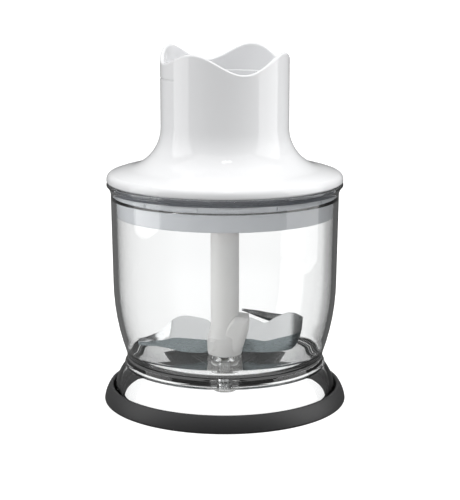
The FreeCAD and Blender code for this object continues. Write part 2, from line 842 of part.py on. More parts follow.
def make_ring_gear(phase):
    """The fixed internal gear, which fills the cup's inside."""
    module = dim.gear_module.value
    teeth = int(dim.ring_teeth.value)
    pitch = module * teeth / 2
    points = tooth_outline(teeth, pitch + 1.25 * module, pitch - module, -dim.backlash.value, phase)
    lower, upper = dim.gear_bottom.value - 0.3, dim.gear_top.value + 0.3
    blank = Part.makeCylinder(dim.cup_inner_radius.value, upper - lower, FreeCAD.Vector(0, 0, lower))
    return plain("ring_gear_shape", blank.cut(prism(points, lower - 1, upper + 1)))


def mesh_phases():
    """First-tooth angles of each planet, and of the ring's first space, so that all are in mesh."""
    sun_pitch = 360 / dim.sun_teeth.value
    planet_pitch = 360 / dim.planet_teeth.value
    ring_pitch = 360 / dim.ring_teeth.value
    planets = []
    for k in range(3):
        at = 90 + 120 * k
        offset = (at / sun_pitch) % 1
        planets.append(at + 180 + (offset - 0.5) * planet_pitch)
    # the ring's space opposite the first planet's tooth
    share = ((90 - planets[0]) / planet_pitch) % 1
    return planets, 90 - share * ring_pitch


def make_carrier():
    """The planet carrier: a plate with the output hub and its hexagon socket below."""
    lower = dim.cup_floor + 0.95
    upper = lower + 2.8
    socket_bottom = dim.seal_seat_bottom + 0.4
    body = turned(
        "carrier",
        [
            (ON_AXIS, socket_bottom),
            (dim.output_radius, socket_bottom),
            (dim.output_radius, lower),
            (dim.carrier_radius, lower),
            (dim.carrier_radius, upper),
            (dim.pin_radius + dim.running_gap, upper),
            (dim.pin_radius + dim.running_gap, lower),
            (ON_AXIS, lower),
        ],
    )
    depth = dim.hub_end + 0.4 - socket_bottom
    padded_outline(
        body, "carrier_socket", "XY_Plane", hexagon(dim.hex_flat + 0.3), depth, socket_bottom, cut=True
    )
    holes = on_circle("carrier_hole", dim.planet_pin_radius, lower - 1.0, fixed(5.0), planet_circle(), 90)
    return minus("carrier", body, holes)


def planet_circle():
    """Distance from the sun's axis to a planet's axis."""
    return (dim.sun_teeth + dim.planet_teeth) * dim.gear_module * 0.5


def make_carrier_plate():
    """The upper plate, which the three planet pins tie to the carrier."""
    lower = dim.gear_top + 0.5
    body = turned(
        "carrier_plate_turned",
        [
            (fixed(3.4), lower),
            (dim.carrier_radius, lower),
            (dim.carrier_radius, lower + 1.6),
            (fixed(3.4), lower + 1.6),
        ],
    )
    holes = on_circle("plate_hole", dim.planet_pin_radius, lower - 1.0, fixed(4.0), planet_circle(), 90)
    return minus("carrier_plate_turned", body, holes)


def make_planet_pins():
    """Three steel pins pressed through both plates."""
    lower = dim.cup_floor + 1.2
    high = dim.gear_top + 2.1 - lower
    pins = on_circle("planet_pin", dim.planet_pin_radius, lower, high, planet_circle(), 90)
    return grouped("planet_pin_group", pins)


# Shaft, coupling and bearings.

CLIP_LEVEL = 128.6
CLIP_THICK = 0.8


def make_shaft():
    """The steel input shaft, with a groove for its clip."""
    bottom = dim.cup_floor + 1.2
    neck = dim.pin_radius - 0.4
    return turned(
        "shaft",
        [
            (ON_AXIS, bottom),
            (dim.pin_radius - 0.4, bottom),
            (dim.pin_radius, bottom + 0.4),
            (dim.pin_radius, fixed(CLIP_LEVEL - 0.05)),
            (neck, fixed(CLIP_LEVEL - 0.05)),
            (neck, fixed(CLIP_LEVEL + CLIP_THICK + 0.05)),
            (dim.pin_radius, fixed(CLIP_LEVEL + CLIP_THICK + 0.05)),
            (dim.pin_radius, dim.shaft_top),
            (ON_AXIS, dim.shaft_top),
        ],
    )


def make_clip():
    """An open spring clip in the shaft's groove."""
    inner, outer = dim.pin_radius.value - 0.35, dim.pin_radius.value + 1.5
    ring = Part.makeCylinder(outer, CLIP_THICK, FreeCAD.Vector(0, 0, CLIP_LEVEL))
    ring = ring.cut(Part.makeCylinder(inner, CLIP_THICK + 2, FreeCAD.Vector(0, 0, CLIP_LEVEL - 1)))
    mouth = Part.makeBox(outer + 1, 2.2, CLIP_THICK + 2, FreeCAD.Vector(0, -1.1, CLIP_LEVEL - 1))
    return plain("clip_shape", ring.cut(mouth))


def make_coupling():
    """The six-lobed drive coupling on top of the shaft, tapered so that the motor part finds it."""
    lobes = 6
    bottom, top = CLIP_LEVEL + 1.4, dim.coupling_top.value
    body = doc.addObject("PartDesign::Body", "coupling")
    outer, inner = fixed(6.2), fixed(4.9)
    corners = []
    for k in range(2 * lobes):
        angle = math.radians(180 / lobes * k + 15)
        reach = outer if k % 2 == 0 else inner
        corners.append((reach * math.cos(angle), reach * math.sin(angle)))
    padded_outline(body, "coupling_star", "XY_Plane", corners, fixed(top - bottom), fixed(bottom))
    cone = doc.addObject("Part::Cone", "coupling_taper")
    cone.Radius1 = 7.2
    cone.Radius2 = 4.2
    cone.Height = 6.0
    cone.Placement = FreeCAD.Placement(FreeCAD.Vector(0, 0, top - 5.0), FreeCAD.Rotation())
    stem = cylinder("coupling_stem", fixed(7.2), fixed(bottom), fixed(top - 5.0 - bottom))
    envelope = joined("coupling_envelope", [cone, stem])
    tapered = doc.addObject("Part::Common", "coupling_tapered")
    tapered.Base = body
    tapered.Tool = envelope
    bore = cylinder("coupling_bore", dim.pin_radius, fixed(bottom - 1), dim.shaft_top - (bottom - 1))
    return minus("coupling", tapered, [bore])


def make_collar_ring(name, inner, outer, bottom, top):
    """A plain ring, for bushes, washers and the seal."""
    return turned(name, [(inner, bottom), (outer, bottom), (outer, top), (inner, top)])


def make_seal():
    """The rubber lip seal round the output hub, with a sprung lip that points down."""
    bottom = dim.seal_seat_bottom + 0.1
    inner = dim.output_radius + 0.06
    return turned(
        "seal",
        [
            (inner, bottom + 0.3),
            (inner + 0.5, bottom),
            (inner + 0.9, bottom + 1.0),
            (dim.seal_radius - 0.8, bottom + 1.0),
            (dim.seal_radius - 0.8, bottom),
            (dim.seal_radius, bottom),
            (dim.seal_radius, bottom + 1.9),
            (inner + 0.4, bottom + 1.9),
            (inner, bottom + 0.8),
        ],
    )


# Assembly.

keep(make_ring(), "anti_slip_ring")
keep(make_bowl(), "bowl")
keep(make_pin(), "centre_pin")
keep(make_bush(), "pin_bush")

low_wing = keep(make_wing("low_wing", LOW_WING), "lower_blade")
high_wing = keep(make_wing("high_wing", HIGH_WING), "upper_blade")
keep(minus("hub_slots", make_hub(), [low_wing, high_wing]), "blade_hub")

keep(make_lid_shell(), "lid_shell")
keep(make_lid_base(), "lid_base")
keep(make_cover(), "gearbox_cover")
keep(make_screws("lid_screw", 0, dim.deck_top - dim.deck_thick, upward=True), "lid_screws")
keep(make_screws("cover_screw", 60, dim.deck_top + 2.0, upward=False), "cover_screws")

planet_phases, ring_phase = mesh_phases()
gear_low, gear_high = dim.gear_bottom.value, dim.gear_top.value
keep(make_ring_gear(ring_phase), "ring_gear")
sun_teeth, planet_teeth = int(dim.sun_teeth.value), int(dim.planet_teeth.value)
centre = FreeCAD.Vector(0, 0, 0)
keep(make_gear("sun", sun_teeth, 0, dim.pin_radius.value, gear_low, gear_high, centre), "sun_gear")
planet_bore = dim.planet_pin_radius.value + dim.running_gap.value
for k, phase in enumerate(planet_phases):
    at = math.radians(90 + 120 * k)
    place = FreeCAD.Vector(math.cos(at), math.sin(at), 0) * planet_circle().value
    low, high = gear_low + 0.2, gear_high - 0.2
    planet = make_gear(f"planet_{k}", planet_teeth, phase, planet_bore, low, high, place)
    keep(planet, f"planet_gear_{k + 1}")
keep(make_carrier(), "planet_carrier")
keep(make_carrier_plate(), "carrier_plate")
keep(make_planet_pins(), "planet_pins")

keep(make_shaft(), "input_shaft")
keep(make_clip(), "shaft_clip")
keep(make_coupling(), "drive_coupling")
shaft_bore, hub_bore = dim.pin_radius + dim.running_gap, dim.output_radius + dim.running_gap
tube_low, tube_high = dim.socket_floor - 8.9, dim.socket_floor + 1.8
keep(make_collar_ring("upper_bearing", shaft_bore, dim.input_bush_radius, tube_low, tube_high), "input_bush")
seat_top = dim.seal_seat_bottom + 2.1
keep(make_collar_ring("lower_bearing", hub_bore, dim.output_bush_radius, seat_top, dim.cup_floor), "output_bush")
washer_inner = dim.output_bush_radius + 0.1
keep(make_collar_ring("washer", washer_inner, fixed(15.0), dim.cup_floor, dim.cup_floor + 0.8), "thrust_washer")
keep(make_seal(), "shaft_seal")

doc.recompute()

broken = [o.Name for o in doc.Objects if "Invalid" in o.State or "Error" in o.State]
if broken:
    raise RuntimeError(f"these objects failed: {broken}")
for node in NODES:
    if node.Shape.isNull() or not node.Shape.isValid() or not node.Shape.Solids:
        raise RuntimeError(f"{node.Label} has no valid solid")

os.makedirs("parts", exist_ok=True)
for node in NODES:
    node.Shape.exportStep(f"parts/{node.Label}.step")
    print(f"{node.Label}: {len(node.Shape.Solids)} solids, {node.Shape.Volume:.1f} mm3")
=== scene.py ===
import bpy
import math
import numpy as np
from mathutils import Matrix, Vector


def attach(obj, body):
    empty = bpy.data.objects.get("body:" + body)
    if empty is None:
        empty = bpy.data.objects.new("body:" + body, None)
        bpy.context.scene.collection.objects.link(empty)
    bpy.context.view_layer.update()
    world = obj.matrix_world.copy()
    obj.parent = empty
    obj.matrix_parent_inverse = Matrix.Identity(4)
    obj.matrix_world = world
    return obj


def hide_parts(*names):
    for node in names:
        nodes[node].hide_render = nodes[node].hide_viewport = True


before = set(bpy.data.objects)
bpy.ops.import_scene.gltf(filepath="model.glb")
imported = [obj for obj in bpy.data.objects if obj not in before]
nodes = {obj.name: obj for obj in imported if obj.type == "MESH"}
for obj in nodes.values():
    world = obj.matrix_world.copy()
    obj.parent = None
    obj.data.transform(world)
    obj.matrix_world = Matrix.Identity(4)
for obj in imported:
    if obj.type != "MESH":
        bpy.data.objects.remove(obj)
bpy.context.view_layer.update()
mm = 0.001
print("frame loaded:", len(nodes), "nodes")


# surfaces made from outlines
def stretch(start, end, radius=0.0, side=1, step=3.0):
    # points from start up to (not including) end: a straight run with support points close
    # to both ends, or an arc of the given radius whose centre is left (1) or right (-1)
    start, end = np.array(start, float), np.array(end, float)
    chord = end - start
    length = np.hypot(*chord)
    if radius <= 0.0:
        near = min(0.25, length * 0.2)
        along = np.array([0.0, near / length, 0.5, 1.0 - near / length])
        return start + along[:, None] * chord
    across = np.array([-chord[1], chord[0]]) / length
    centre = (start + end) / 2 + across * side * math.sqrt(max(radius**2 - length**2 / 4, 0.0))
    a, b = start - centre, end - centre
    first = math.atan2(a[1], a[0])
    sweep = math.atan2(a[0] * b[1] - a[1] * b[0], a @ b)
    count = max(3, int(abs(math.degrees(sweep)) / step))
    angle = first + sweep * np.arange(count) / count
    return centre + radius * np.column_stack([np.cos(angle), np.sin(angle)])


def rounded(corners, soften):
    # a corner is (x, y) or (x, y, radius, side) where an arc leaves it. Corners between two
    # straight runs get a small arc, tangent to both, no larger than soften
    count = len(corners)
    xy = [np.array(c[:2], float) for c in corners]
    runs = []
    for i in range(count):
        before, here, after = xy[i - 1], xy[i], xy[(i + 1) % count]
        arcIn, arcOut = len(corners[i - 1]) > 2, len(corners[i]) > 2
        onAxis = abs(here[0]) < 1e-9
        if arcIn or arcOut or onAxis:
            runs.append((here, here, 0.0, 1))
            continue
        back, ahead = before - here, after - here
        turn = math.acos(np.clip(back @ ahead / np.hypot(*back) / np.hypot(*ahead), -1, 1))
        cut = min(soften / math.tan(turn / 2), 0.4 * np.hypot(*back), 0.4 * np.hypot(*ahead))
        side = 1 if ahead[0] * -back[1] + ahead[1] * back[0] > 0 else -1
        radius = cut * math.tan(turn / 2)
        runs.append((here + back * cut / np.hypot(*back), here + ahead * cut / np.hypot(*ahead),
                     radius, side))
    points = []
    for i in range(count):
        enter, leave, radius, side = runs[i]
        if radius > 1e-4 and np.hypot(*(leave - enter)) > 1e-4:
            points.append(stretch(enter, leave, radius, side, 15.0))
        target = runs[(i + 1) % count][0]
        if onLine(leave, target, 1e-6):
            continue
        extra = corners[i][2:] if len(corners[i]) > 2 else ()
        points.append(stretch(leave, target, *extra))
    return np.vstack(points)


def onLine(a, b, gap):
    return np.hypot(*(a - b)) < gap


def meshFrom(name, verts, faces, smooth=True):
    mesh = bpy.data.meshes.new(name)
    mesh.from_pydata((verts * mm).tolist(), [], faces)
    mesh.validate()
    mesh.polygons.foreach_set("use_smooth", np.full(len(mesh.polygons), smooth))
    mesh.update()
    piece = bpy.data.objects.new(name, mesh)
    bpy.context.scene.collection.objects.link(piece)
    return piece


def gridFaces(rows, columns, closedRows):
    # quads of a grid whose columns close round, and whose rows close too where asked
    r = np.arange(rows if closedRows else rows - 1)
    c = np.arange(columns)
    r, c = [m.ravel() for m in np.meshgrid(r, c, indexing="ij")]
    r2, c2 = (r + 1) % rows, (c + 1) % columns
    return np.column_stack([r * columns + c, r * columns + c2, r2 * columns + c2, r2 * columns + c])


def lathe(name, corners, soften=0.3, turns=192, shift=None):
    # a profile turned about Z: point (r, z) at angle a is (r cos a, r sin a, z). shift moves
    # the whole grid of (radius, angle, height) before it is placed
    profile = rounded(corners, soften)
    angle = np.arange(turns) * 2 * np.pi / turns
    radius = np.repeat(profile[:, :1], turns, axis=1)
    height = np.repeat(profile[:, 1:], turns, axis=1)
    turn = np.repeat(angle[None, :], len(profile), axis=0)
    if shift is not None:
        radius, height = shift(radius, turn, height)
    verts = np.column_stack([(radius * np.cos(turn)).ravel(), (radius * np.sin(turn)).ravel(),
                             height.ravel()])
    faces = gridFaces(len(profile), turns, True)
    onPole = profile[:, 0] < 1e-6
    verts, faces = closePoles(verts, faces, onPole, turns)
    return meshFrom(name, verts, faces)


def closePoles(verts, faces, onPole, turns):
    # every ring that lies on the axis becomes one vertex, and the faces there triangles
    if not onPole.any():
        return verts, faces.tolist()
    owner = np.arange(len(verts))
    for row in np.flatnonzero(onPole):
        owner[row * turns:(row + 1) * turns] = row * turns
    rowOf = np.arange(len(verts)) // turns
    both = onPole[rowOf[faces[:, 0]]] & onPole[rowOf[faces[:, 2]]]
    faces = owner[faces[~both]]
    used, faces = np.unique(faces, return_inverse=True)
    faces = faces.reshape(-1, 4)
    slim = [list(dict.fromkeys(f)) for f in faces.tolist()]
    return verts[used], slim


def makeOutward(piece):
    # faces wound so that a closed piece's enclosed volume is positive
    mesh = piece.data
    mesh.calc_loop_triangles()
    points = np.zeros(len(mesh.vertices) * 3)
    mesh.vertices.foreach_get("co", points)
    points = points.reshape(-1, 3)
    tris = np.zeros(len(mesh.loop_triangles) * 3, int)
    mesh.loop_triangles.foreach_get("vertices", tris)
    a, b, c = points[tris.reshape(-1, 3)].transpose(1, 0, 2)
    if np.einsum("ij,ij->", a, np.cross(b, c)) < 0:
        mesh.flip_normals()


sharpFrom = {"turned": 40, "boot": 50, "wing": 35}  # degrees at which an edge looks sharp


def crisp(piece, degrees):
    # edges sharper than the angle stay sharp in shading
    mesh = piece.data
    mesh.set_sharp_from_angle(angle=math.radians(degrees))


def place(piece, body, slotName, material, *replaced):
    if material:
        piece.data.materials.append(material)
    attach(piece, body)
    if replaced:
        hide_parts(*replaced)
    return piece


# finishes, each a Principled shader with a little noise
def finish(name, color, rough, metal=0.0, **sockets):
    material = bpy.data.materials.new(name)
    material.use_nodes = True
    shader = material.node_tree.nodes["Principled BSDF"]
    shader.inputs["Base Color"].default_value = (*color, 1.0)
    shader.inputs["Roughness"].default_value = rough
    shader.inputs["Metallic"].default_value = metal
    for socket, value in sockets.items():
        shader.inputs[socket.replace("_", " ")].default_value = value
    return material, shader


def addNode(material, kind, **settings):
    node = material.node_tree.nodes.new(kind)
    for key, value in settings.items():
        if key in node.inputs:
            node.inputs[key].default_value = value
        else:
            setattr(node, key, value)
    return node


def wire(material, source, target):
    material.node_tree.links.new(source, target)


def grainOn(material, shader, scale, height, roughLow, roughHigh, squash=(1, 1, 1), detail=4.0):
    # fine noise on object coordinates: it lifts the surface by height and moves the
    # roughness between two values
    where = addNode(material, "ShaderNodeTexCoord")
    sized = addNode(material, "ShaderNodeMapping", Scale=squash)
    noise = addNode(material, "ShaderNodeTexNoise", Scale=scale, Detail=detail, Roughness=0.6)
    wire(material, where.outputs["Object"], sized.inputs["Vector"])
    wire(material, sized.outputs["Vector"], noise.inputs["Vector"])
    bump = addNode(material, "ShaderNodeBump", Strength=1.0, Distance=height)
    wire(material, noise.outputs["Fac"], bump.inputs["Height"])
    wire(material, bump.outputs["Normal"], shader.inputs["Normal"])
    span = addNode(material, "ShaderNodeMapRange")
    span.inputs["To Min"].default_value = roughLow
    span.inputs["To Max"].default_value = roughHigh
    wire(material, noise.outputs["Fac"], span.inputs["Value"])
    wire(material, span.outputs["Result"], shader.inputs["Roughness"])
    return noise


def tint(material, shader, scale, dark, light, squash=(1, 1, 1)):
    # slow drift between two close colours
    where = addNode(material, "ShaderNodeTexCoord")
    sized = addNode(material, "ShaderNodeMapping", Scale=squash)
    noise = addNode(material, "ShaderNodeTexNoise", Scale=scale, Detail=3.0)
    mix = addNode(material, "ShaderNodeMix", data_type="RGBA")
    mix.inputs[6].default_value = (*dark, 1.0)
    mix.inputs[7].default_value = (*light, 1.0)
    wire(material, where.outputs["Object"], sized.inputs["Vector"])
    wire(material, sized.outputs["Vector"], noise.inputs["Vector"])
    wire(material, noise.outputs["Fac"], mix.inputs[0])
    wire(material, mix.outputs[2], shader.inputs["Base Color"])


def clearPlastic():
    material, shader = finish("clearPlastic", (0.985, 0.99, 0.99), 0.0, IOR=1.5,
                              Transmission_Weight=1.0)
    grainOn(material, shader, 60.0, 0.000004, 0.0, 0.012, detail=1.0)
    return material


def glossWhite():
    material, shader = finish("glossWhite", (0.86, 0.865, 0.875), 0.1, IOR=1.52)
    grainOn(material, shader, 900.0, 0.0000015, 0.05, 0.08)
    tint(material, shader, 14.0, (0.85, 0.856, 0.868), (0.87, 0.874, 0.882))
    return material


def satinWhite():
    material, shader = finish("satinWhite", (0.87, 0.862, 0.845), 0.35)
    grainOn(material, shader, 1400.0, 0.000006, 0.28, 0.42)
    tint(material, shader, 30.0, (0.855, 0.847, 0.83), (0.88, 0.873, 0.86))
    return material


# a cool grey for the lid's inner base and its lugs: partly the part's own bluish tint, partly
# painted shade, darker than the hub's white
def greyTintAndShade():
    material, shader = finish("greyTintAndShade", (0.75, 0.77, 0.8), 0.3)
    grainOn(material, shader, 1400.0, 0.000005, 0.24, 0.36)
    tint(material, shader, 30.0, (0.735, 0.755, 0.785), (0.765, 0.785, 0.815))
    return material


def softRubber():
    material, shader = finish("softRubber", (0.026, 0.026, 0.027), 0.5, Specular_IOR_Level=0.45)
    grainOn(material, shader, 2600.0, 0.00001, 0.4, 0.54)
    tint(material, shader, 40.0, (0.023, 0.023, 0.024), (0.03, 0.03, 0.031))
    return material


# a dark blue-grey for the ring under the lid's lip: painted shade for the recess between the lid
# and the bowl's rim
def shadeRingGrey():
    material, shader = finish("shadeRingGrey", (0.12, 0.13, 0.15), 0.4)
    grainOn(material, shader, 2400.0, 0.000006, 0.34, 0.46)
    tint(material, shader, 60.0, (0.11, 0.12, 0.14), (0.135, 0.145, 0.165))
    return material


def sealRubber():
    material, shader = finish("sealRubber", (0.24, 0.05, 0.04), 0.55)
    grainOn(material, shader, 2200.0, 0.000008, 0.5, 0.65)
    return material


def bladeSteel():
    material, shader = finish("bladeSteel", (0.7, 0.71, 0.715), 0.2, 1.0)
    grainOn(material, shader, 260.0, 0.000004, 0.13, 0.26, squash=(0.25, 0.25, 6.0))
    tint(material, shader, 45.0, (0.66, 0.67, 0.675), (0.73, 0.735, 0.74), squash=(0.3, 0.3, 2.0))
    return material


# the honed strip along each blade's lower edge: its grain and roughness are the steel's own, its
# dark teal colour is painted shade and reflection
def honedShadeSteel():
    material, shader = finish("honedShadeSteel", (0.25, 0.285, 0.295), 0.3, 1.0)
    grainOn(material, shader, 900.0, 0.000004, 0.22, 0.34, squash=(0.4, 0.4, 5.0))
    tint(material, shader, 60.0, (0.22, 0.255, 0.265), (0.3, 0.335, 0.345), squash=(0.4, 0.4, 3.0))
    return material


def groundSteel():
    material, shader = finish("groundSteel", (0.62, 0.63, 0.635), 0.3, 1.0)
    grainOn(material, shader, 700.0, 0.000004, 0.2, 0.34, squash=(4.0, 4.0, 0.4))
    return material


def platedSteel():
    material, shader = finish("platedSteel", (0.52, 0.53, 0.56), 0.35, 1.0)
    grainOn(material, shader, 1800.0, 0.000005, 0.28, 0.45)
    tint(material, shader, 300.0, (0.47, 0.48, 0.5), (0.56, 0.565, 0.57))
    return material


def naturalAcetal():
    material, shader = finish("naturalAcetal", (0.78, 0.75, 0.66), 0.4, Subsurface_Weight=0.1)
    grainOn(material, shader, 1200.0, 0.000005, 0.34, 0.48)
    tint(material, shader, 60.0, (0.76, 0.73, 0.64), (0.8, 0.77, 0.69))
    return material


def filledGrey():
    material, shader = finish("filledGrey", (0.13, 0.135, 0.145), 0.5)
    grainOn(material, shader, 1600.0, 0.00001, 0.4, 0.6)
    tint(material, shader, 500.0, (0.11, 0.115, 0.125), (0.155, 0.16, 0.17), squash=(1, 1, 4))
    return material


def sinteredBronze():
    material, shader = finish("sinteredBronze", (0.55, 0.34, 0.16), 0.4, 1.0)
    grainOn(material, shader, 3200.0, 0.00001, 0.3, 0.5)
    tint(material, shader, 900.0, (0.45, 0.27, 0.12), (0.6, 0.39, 0.2))
    return material


clearFinish, whiteFinish = clearPlastic(), glossWhite()
satinFinish, greyAndShadeFinish = satinWhite(), greyTintAndShade()
rubberFinish, shadeRingFinish, sealFinish = softRubber(), shadeRingGrey(), sealRubber()
bladeFinish, honedShadeFinish = bladeSteel(), honedShadeSteel()
groundFinish, platedFinish = groundSteel(), platedSteel()
acetalFinish, greyFinish, bronzeFinish = naturalAcetal(), filledGrey(), sinteredBronze()

cadFinishes = {
    "pin_bush": acetalFinish, "gearbox_cover": greyFinish, "lid_screws": platedFinish,
    "cover_screws": platedFinish, "ring_gear": acetalFinish, "sun_gear": groundFinish,
    "planet_gear_1": acetalFinish, "planet_gear_2": acetalFinish, "planet_gear_3": acetalFinish,
    "planet_carrier": greyFinish, "carrier_plate": greyFinish, "planet_pins": groundFinish,
    "input_shaft": groundFinish, "shaft_clip": platedFinish, "drive_coupling": greyFinish,
    "input_bush": bronzeFinish, "output_bush": bronzeFinish, "thrust_washer": bronzeFinish,
    "shaft_seal": sealFinish,
}
for node, material in cadFinishes.items():
    nodes[node].data.materials.clear()
    nodes[node].data.materials.append(material)
print("finishes made")


# the rubber ring, all in millimetres
ring = {
    "outer": 59.0, "high": 8.0, "lip": 56.3, "inner": 50.5,
    "grooveOut": 54.75, "grooveIn": 51.95, "grooveFloor": 2.6, "step": 5.2,
}
ringCorners = [
    (ring["inner"], 0.0), (ring["outer"] - 0.8, 0.0, 1.1, 1), (ring["outer"], 1.2, 16.0, 1),
    (ring["lip"], ring["high"]), (ring["grooveOut"], ring["high"]),
    (ring["grooveOut"], ring["grooveFloor"]), (ring["grooveIn"], ring["grooveFloor"]),
    (ring["grooveIn"], ring["step"]), (ring["inner"] + 0.2, ring["step"]),
]
rubberRing = lathe("rubberRing", ringCorners, soften=0.35, turns=256)
place(rubberRing, "base_ring", "soft_rubber", rubberFinish, "anti_slip_ring")


# the clear bowl and the pin that stands in it
bowl = {
    "wall": 2.4, "rimRadius": 56.7, "rimTop": 107.4, "topRadius": 54.7, "lugRoom": 53.4,
    "belly": 54.05, "bellyLevel": 60.0, "bellyCurve": 107.0, "waist": 47.9, "waistLevel": 24.3,
    "floorTop": 22.0, "floorUnder": 19.2, "foot": 54.35, "footLevel": 2.9, "footCurve": 23.3,
    "bossRadius": 6.8, "bossTip": 5.4, "bossEnd": 1.6, "bore": 2.56,
}


def bowlCorners(b):
    waist, waistLevel, top, rim = b["waist"], b["waistLevel"], b["topRadius"], b["rimTop"]
    boreEnd = b["bossEnd"] + 3.4
    return [
        (b["bore"], b["floorTop"]), (b["bore"], boreEnd), (0.0, boreEnd), (0.0, b["bossEnd"]),
        (b["bossTip"] - 1.8, b["bossEnd"], 1.8, 1), (b["bossTip"], b["bossEnd"] + 1.8),
        (b["bossTip"] + 0.2, b["bossEnd"] + 4.6), (b["bossRadius"] - 0.2, b["bossEnd"] + 5.6),
        (b["bossRadius"], b["floorUnder"] - 1.0), (b["bossRadius"] + 1.0, b["floorUnder"]),
        (waist - 1.5, b["floorUnder"], b["footCurve"] - 2.0, -1), (b["foot"] - 2.0, b["footLevel"]),
        (b["foot"], b["footLevel"], b["footCurve"], 1), (waist + 0.7, waistLevel - 6.3),
        (waist + 1.0, waistLevel - 6.1), (waist + 1.0, waistLevel - 5.1),
        (waist - 0.2, waistLevel - 2.6), (waist, waistLevel, b["bellyCurve"], 1),
        (b["belly"], b["bellyLevel"]), (top, rim - 5.4, 6.4, -1), (b["rimRadius"], rim - 1.2),
        (b["rimRadius"], rim - 0.4), (b["rimRadius"] - 0.4, rim), (b["lugRoom"] + 0.6, rim),
        (b["lugRoom"], rim - 0.6), (b["lugRoom"], rim - 6.0), (top - b["wall"], rim - 7.2),
        (b["belly"] - b["wall"], b["bellyLevel"], b["bellyCurve"] - b["wall"], -1),
        (waist - 1.2, b["floorTop"] + 6.0, 6.5, -1), (waist - 6.2, b["floorTop"]),
    ]


clearBowl = lathe("clearBowl", bowlCorners(bowl), soften=0.35, turns=256)
place(clearBowl, "bowl", "clear_plastic", clearFinish, "bowl")

pin = {"radius": 2.5, "foot": 5.0, "top": 80.0}
pinCorners = [
    (0.0, pin["foot"]), (pin["radius"], pin["foot"]), (pin["radius"], pin["top"] - 1.6, 2.2, 1),
    (pin["radius"] - 1.7, pin["top"]), (0.0, pin["top"]),
]
steelPin = lathe("steelPin", pinCorners, soften=0.2, turns=64)
place(steelPin, "bowl", "pin_steel", groundFinish, "centre_pin")
print("bowl and pin made")


# the lid: its casing, guide ribs, inner base, lugs, and a dark ring under the lip that paints the
# shade of the recess there
lid = {
    "radius": 56.65, "lip": 107.8, "wall": 2.4, "collar": 30.6, "foot": 134.0, "flare": 20.0,
    "floor": 126.4, "rimLevel": 167.1, "tilt": 1.7, "sideDrop": 1.2, "wave": 3.65, "turn": 9.0,
    "drawn": 176.0, "steady": 158.6, "lineLow": 156.9, "lineHigh": 157.7, "lineDeep": 0.45,
    "lineHalf": 21.0, "grip": 28.2, "gripLow": 148.0, "gripHigh": 158.3,
}


def rimHeight(turn):
    # a mean level less three cosines of the angle from the front dip: once, twice and four
    # times round
    psi = turn + np.pi / 2 - math.radians(lid["turn"])
    return (lid["rimLevel"] - lid["tilt"] * np.cos(psi) - lid["sideDrop"] * np.cos(2 * psi)
            - lid["wave"] * np.cos(4 * psi))


def waveCollar(radius, turn, height):
    # above the steady level, heights are stretched in proportion so that the drawn top meets
    # the wavy rim; between two levels the outside is cut in by a shallow line at each side
    share = np.clip((height - lid["steady"]) / (lid["drawn"] - lid["steady"]), 0.0, None)
    top = rimHeight(turn)
    nearTop = height > lid["drawn"] - 1.5
    lowered = lid["steady"] + share * (top - lid["steady"])
    wavy = np.where(nearTop, top + (height - lid["drawn"]), lowered)
    height = np.where(share > 0, wavy, height)
    fromSide = np.abs(np.angle(np.exp(2j * (turn - math.radians(lid["turn"]))))) / 2
    inBand = (height > lid["lineLow"]) & (height < lid["lineHigh"]) & (radius > lid["collar"] - 0.1)
    onSide = fromSide < math.radians(lid["lineHalf"])
    radius = np.where(inBand & onSide, radius - lid["lineDeep"], radius)
    return radius, height


def lidCorners(k):
    wall, foot, flare, lip, collar = k["wall"], k["foot"], k["flare"], k["lip"], k["collar"]
    underside = k["floor"] - wall
    eased = k["grip"] + 0.4
    half = (collar - eased) / 2
    return [
        (5.0, k["floor"] - 8.9), (7.6, k["floor"] - 8.9), (7.6, underside),
        (collar, underside, flare + wall, 1), (46.0, foot - 21.9), (52.6, lip + 3.1),
        (54.4, lip + 1.8), (54.8, lip), (k["radius"] - 0.5, lip), (k["radius"], lip + 0.6),
        (k["radius"], lip + 1.4, 3.25, 1), (k["radius"] - 2.18, lip + 4.47, 50.0, 1),
        (47.0, foot - 19.67, flare, -1), (collar, foot), (collar, k["lineLow"] - 0.12),
        (collar, k["lineLow"] + 0.02), (collar, k["lineHigh"] - 0.02),
        (collar, k["lineHigh"] + 0.12), (collar, k["steady"]),
        (collar, k["drawn"] - half, half, 1), (eased, k["drawn"] - half),
        (eased, k["gripHigh"] + 0.4), (k["grip"], k["gripHigh"]), (k["grip"], k["gripLow"]),
        (k["grip"] - 0.4, k["gripLow"] - 0.4), (k["grip"] - 0.4, k["floor"] + 1.0),
        (k["grip"] - 1.4, k["floor"]), (7.6, k["floor"]), (7.6, k["floor"] + 1.8),
        (5.0, k["floor"] + 1.8),
    ]


lidShell = lathe("lidShell", lidCorners(lid), soften=0.3, turns=288, shift=waveCollar)
place(lidShell, "lid", "white_gloss", whiteFinish, "lid_shell")


def block(name, low, high, turn, soften):
    # a box between two corners, turned about Z, with its edges rounded
    corners = np.array([[x, y, z] for x in (low[0], high[0]) for y in (low[1], high[1])
                        for z in (low[2], high[2])], float)
    c, s = math.cos(turn), math.sin(turn)
    spun = np.column_stack([corners[:, 0] * c - corners[:, 1] * s,
                            corners[:, 0] * s + corners[:, 1] * c, corners[:, 2]])
    faces = [(0, 1, 3, 2), (4, 6, 7, 5), (0, 4, 5, 1), (2, 3, 7, 6), (0, 2, 6, 4), (1, 5, 7, 3)]
    piece = meshFrom(name, spun, faces, smooth=False)
    edge = piece.modifiers.new("edge", "BEVEL")
    edge.width, edge.segments = soften * mm, 3
    return piece


